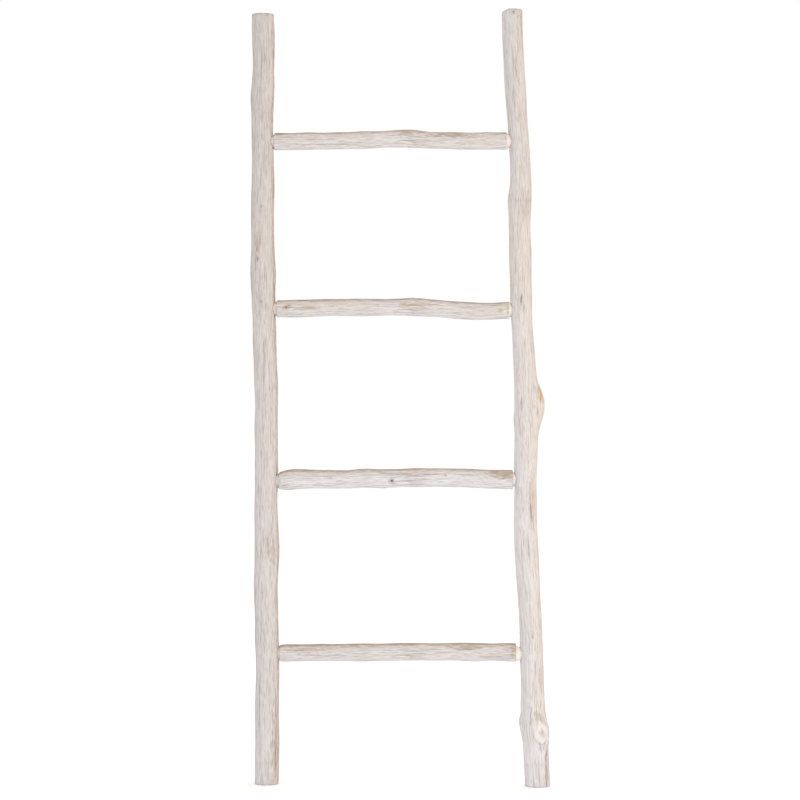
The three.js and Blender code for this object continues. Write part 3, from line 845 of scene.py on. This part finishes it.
def whitewashed_branch(name, cool, warm, pale, streaks, flecks):
    """Peeled branch, taken to be teak, dried and brushed with a thin matt whitewash. The wash is a pinkish
    white over tan wood, cooler on one side of the branch and creamier on the other. It is thin along the
    raised fibres, where mauve and tan streaks show through, and it is gone where the ladder has been handled.
    The colour is the wash, blended towards the wood by how much of it shows. streaks and flecks are how
    strongly the long and the short marks show."""
    material = bpy.data.materials.new(name)
    material.use_nodes = True
    tree = material.node_tree
    shader = tree.nodes["Principled BSDF"]
    grain = add(tree, "ShaderNodeAttribute", attribute_name="grain").outputs["Vector"]
    marks = wood_patterns(tree, grain)
    for key in ("worn", "golden", "dark", "end", "warm", "greyed_top_shade", "washed", "cut"):
        marks[key] = add(tree, "ShaderNodeAttribute", attribute_name=key).outputs["Fac"]

    # Where the wash drifts from cool to cream: (cloud + mottle - 1) * 1.6 + warm.
    both = add(tree, "ShaderNodeMath", {0: marks["cloud"], 1: marks["mottle"]}, operation="ADD").outputs[0]
    drift = {0: both, 1: 1.6, 2: -1.6}
    drift = add(tree, "ShaderNodeMath", drift, operation="MULTIPLY_ADD").outputs[0]
    marks["drift"] = add(tree, "ShaderNodeMath", {0: drift, 1: marks["warm"]}, operation="ADD").outputs[0]
    # Handling rubs the wash off the raised fibres first.
    raised = {"Value": marks["fibre"], "From Min": 0.3, "From Max": 0.6, "To Min": 0.75}
    raised = add(tree, "ShaderNodeMapRange", raised).outputs["Result"]
    rubbed = {0: marks["worn"], 1: raised}
    marks["rubbed"] = add(tree, "ShaderNodeMath", rubbed, operation="MULTIPLY").outputs[0]

    # Each mask is 0 where its pattern is at the first limit, 1 where it is at the second, and smooth between.
    masks = {
        "pale fibre": ("fibre", 0.35, 0.65),
        "reddish": ("mottle", 0.52, 0.7),
        "deep gold": ("mottle", 0.4, 0.62),
        "mauve": ("mottle", 0.45, 0.65),
        "late wood": ("rings", 0.3, 0.9),
        "cream": ("drift", 0.0, 1.0),
        "thick": ("dash", 0.46, 0.3),
        "long mark": ("streak", 0.5, 0.72),
        "short mark": ("dash", 0.52, 0.7),
        "fine mark": ("fibre", 0.45, 0.7),
        "handled": ("rubbed", 0.1, 0.4),
    }
    for key, (pattern, low, high) in masks.items():
        limits = {"Value": marks[pattern], "From Min": low, "From Max": high}
        step = add(tree, "ShaderNodeMapRange", limits, interpolation_type="SMOOTHSTEP")
        marks[key] = step.outputs["Result"]
    # The second greys the wash a little all along, and more over a rail's upper part as painted shade.
    for key, mark, share in (("pale wash", "thick", 0.55), ("grey_brown_shade", "greyed_top_shade", 0.1)):
        marks[key] = add(tree, "ShaderNodeMath", {0: marks[mark], 1: share}, operation="MULTIPLY").outputs[0]
    bared = {0: marks["handled"], 1: marks["end"]}
    marks["bared"] = add(tree, "ShaderNodeMath", bared, operation="MAXIMUM").outputs[0]

    # How much wood shows through the wash: each kind of mark times its strength, added up. The long marks
    # grow bolder where the wash is greyed, most of all in the painted shade over a rail's upper part.
    bold = {0: marks["greyed_top_shade"], 1: 0.2, 2: streaks}
    bold = add(tree, "ShaderNodeMath", bold, operation="MULTIPLY_ADD").outputs[0]
    strengths = {"long mark": bold, "short mark": flecks, "fine mark": 0.1, "rubbed": 1.0, "end": 0.5}
    showing = 0.0
    for key, strength in strengths.items():
        more = {0: marks[key], 1: strength, 2: showing}
        showing = add(tree, "ShaderNodeMath", more, operation="MULTIPLY_ADD").outputs[0]
    marks["showing"] = add(tree, "ShaderNodeMath", {0: showing, 1: 0.96}, operation="MINIMUM").outputs[0]

    # The colours, in the order they are laid: what is made, the mask, and the colour under and over it, each
    # a hex value or one made before. The wood is tan and reddish by turns, golden where it was bared last,
    # and under thin wash weathered to a mauve grey. Fresh knife cuts are cream and hold little wash.
    layers = (
        ("tan wood", "pale fibre", "8b7562", "b9a28c"),
        ("wood", "reddish", "tan wood", "9b7f6b"),
        ("gold", "deep gold", "d0b794", "b8966f"),
        ("wood", "golden", "wood", "gold"),
        ("sawn wood", "late wood", "a8927a", "d3c2ac"),
        ("wood", "end", "wood", "sawn wood"),
        ("weathered wood", "mauve", "83786f", "8a7069"),
        ("under the wash", "bared", "weathered wood", "wood"),
        ("wash", "cream", cool, warm),
        ("wash", "pale wash", "wash", pale),
        ("wash", "washed", "wash", "e8e8f0"),
        ("wash", "grey_brown_shade", "wash", "6b5f58"),
        ("surface", "showing", "wash", "under the wash"),
        ("knife cut", "fibre", "ebe2d9", "f3ede7"),
        ("surface", "cut", "surface", "knife cut"),
        # Real dark marks, plus painted shade at mortise mouths, rung tops, shoulders and a rail side.
        ("surface", "dark", "surface", "5b3a32"),
    )
    colours = {}
    for made, mask, under, over in layers:
        sockets = {0: marks[mask]}
        for socket, colour in ((6, under), (7, over)):
            sockets[socket] = colours[colour] if colour in colours else linear(colour)
        colours[made] = add(tree, "ShaderNodeMix", sockets, data_type="RGBA").outputs[2]
    tree.links.new(colours["surface"], shader.inputs["Base Color"])

    # Matt paint is a little rougher than the bare wood that hands have polished.
    roughness = {"Value": marks["showing"], "To Min": 0.9, "To Max": 0.72}
    roughness = add(tree, "ShaderNodeMapRange", roughness).outputs["Result"]
    tree.links.new(roughness, shader.inputs["Roughness"])
    shader.inputs["IOR"].default_value = 1.5
    shader.inputs["Specular IOR Level"].default_value = 0.35
    # Raised fibres and the brush's tracks stand about 0.2 mm proud.
    height = marks["fibre"]
    for key, share in (("streak", 1.4), ("dash", 0.4)):
        more = {0: marks[key], 1: share, 2: height}
        height = add(tree, "ShaderNodeMath", more, operation="MULTIPLY_ADD").outputs[0]
    bump = {"Height": height, "Strength": 0.6, "Distance": 0.2 * MM}
    tree.links.new(add(tree, "ShaderNodeBump", bump).outputs["Normal"], shader.inputs["Normal"])
    return material


def dulled_steel_wire():
    """Drawn steel wire nails with struck heads: bright once, now grey and dull, with brown specks of first
    rust. The specks are about 1.4 mm apart and the scuffs 0.5 mm."""
    material = bpy.data.materials.new("Dulled_steel_wire")
    material.use_nodes = True
    tree = material.node_tree
    shader = tree.nodes["Principled BSDF"]
    place = add(tree, "ShaderNodeTexCoord").outputs["Object"]
    marks = {}
    for key, spacing, detail in (("rust", 1.4, 2.0), ("scuff", 0.5, 1.0)):
        noise = {"Vector": place, "Scale": 1 / (spacing * MM), "Detail": detail}
        marks[key] = add(tree, "ShaderNodeTexNoise", noise).outputs["Fac"]
    colour = linear("85827d")
    for key, low, high, over in (("scuff", 0.3, 0.7, "aeaca7"), ("rust", 0.58, 0.72, "6d4b36")):
        limits = {"Value": marks[key], "From Min": low, "From Max": high}
        mask = add(tree, "ShaderNodeMapRange", limits, interpolation_type="SMOOTHSTEP").outputs["Result"]
        blend = {0: mask, 6: colour, 7: linear(over)}
        colour = add(tree, "ShaderNodeMix", blend, data_type="RGBA").outputs[2]
    tree.links.new(colour, shader.inputs["Base Color"])
    roughness = {"Value": marks["rust"], "From Min": 0.3, "From Max": 0.75, "To Min": 0.32, "To Max": 0.7}
    roughness = add(tree, "ShaderNodeMapRange", roughness).outputs["Result"]
    tree.links.new(roughness, shader.inputs["Roughness"])
    shader.inputs["Metallic"].default_value = 1.0
    bump = {"Height": marks["scuff"], "Strength": 0.4, "Distance": 0.05 * MM}
    tree.links.new(add(tree, "ShaderNodeBump", bump).outputs["Normal"], shader.inputs["Normal"])
    return material


def pale_floor():
    """A matt white studio floor, so bright that only soft shadows show on it."""
    size = FLOOR_HALF_WIDTH
    mesh = bpy.data.meshes.new("floor")
    corners = [(-size, -size, 0), (size, -size, 0), (size, size, 0), (-size, size, 0)]
    mesh.from_pydata(corners, [], [(0, 1, 2, 3)])
    floor = bpy.data.objects.new("floor", mesh)
    bpy.context.scene.collection.objects.link(floor)
    material = bpy.data.materials.new("Matt_white_floor")
    material.use_nodes = True
    shader = material.node_tree.nodes["Principled BSDF"]
    shader.inputs["Base Color"].default_value = linear("f4f3f1")
    shader.inputs["Roughness"].default_value = 1.0
    shader.inputs["Emission Color"].default_value = (1, 1, 1, 1)
    shader.inputs["Emission Strength"].default_value = FLOOR_GLOW
    mesh.materials.append(material)


def studio():
    """A white room that lights the ladder evenly from all round."""
    world = bpy.data.worlds.new("studio")
    bpy.context.scene.world = world
    world.use_nodes = True
    background = world.node_tree.nodes["Background"]
    background.inputs["Color"].default_value = (1, 1, 1, 1)
    background.inputs["Strength"].default_value = 1.0
    bpy.context.scene.view_settings.view_transform = "Standard"
    bpy.context.scene.view_settings.look = "None"


def softbox(name, place, target, size, power):
    """A square area light of that size in metres, aimed from its place at the target."""
    light = bpy.data.lights.new(name, "AREA")
    light.shape = "SQUARE"
    light.size = size
    light.energy = power
    lamp = bpy.data.objects.new(name, light)
    bpy.context.scene.collection.objects.link(lamp)
    lamp.location = place
    lamp.rotation_euler = (Vector(target) - Vector(place)).to_track_quat("-Z", "Y").to_euler()


def camera():
    """Stands in front at half the ladder's height, with the slight roll that makes the ladder lean in its
    frame."""
    view = bpy.data.cameras.new("camera")
    view.sensor_width = SENSOR_WIDTH
    view.lens = SENSOR_WIDTH * CAMERA_DISTANCE / FRAME_WIDTH
    holder = bpy.data.objects.new("camera", view)
    bpy.context.scene.collection.objects.link(holder)
    holder.location = (CAMERA_SIDEWAYS, -CAMERA_DISTANCE, CAMERA_HEIGHT)
    holder.rotation_euler = (math.pi / 2, -math.radians(CAMERA_ROLL), 0)
    bpy.context.scene.camera = holder


camera()
studio()
softbox("front", (2.1, -3.9, 1.2), (0, 0, 0.75), 2.6, 37)
softbox("behind", (2.6, 3.6, 2.2), (0, 0, 0.8), 2.5, 40)
pale_floor()

left_wood = whitewashed_branch("Whitewashed_branch_left_rail", "cbc4c2", "d3c8c0", "e4ddda", 0.42, 0.42)
right_wood = whitewashed_branch("Whitewashed_branch_right_rail", "d6d0ce", "dbcfc4", "ece6e3", 0.37, 0.34)
rung_wood = whitewashed_branch("Whitewashed_branch_rungs", "d8d3d1", "d0c5bc", "e8e3e1", 0.66, 0.42)

pieces = {
    "left_rail": (rail_skin("left_rail", 100), left_wood),
    "right_rail": (rail_skin("right_rail", 200), right_wood),
}
for number, rung in enumerate(RUNGS, 1):
    pieces[rung] = (rung_skin(rung, 200 + 100 * number), rung_wood)
for node, (piece, material) in pieces.items():
    piece.data.materials.append(material)
    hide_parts(node)
    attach(piece, "root")

steel = dulled_steel_wire()
for node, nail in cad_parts.items():
    if node.endswith("nail"):
        nail.data.materials.clear()
        nail.data.materials.append(steel)
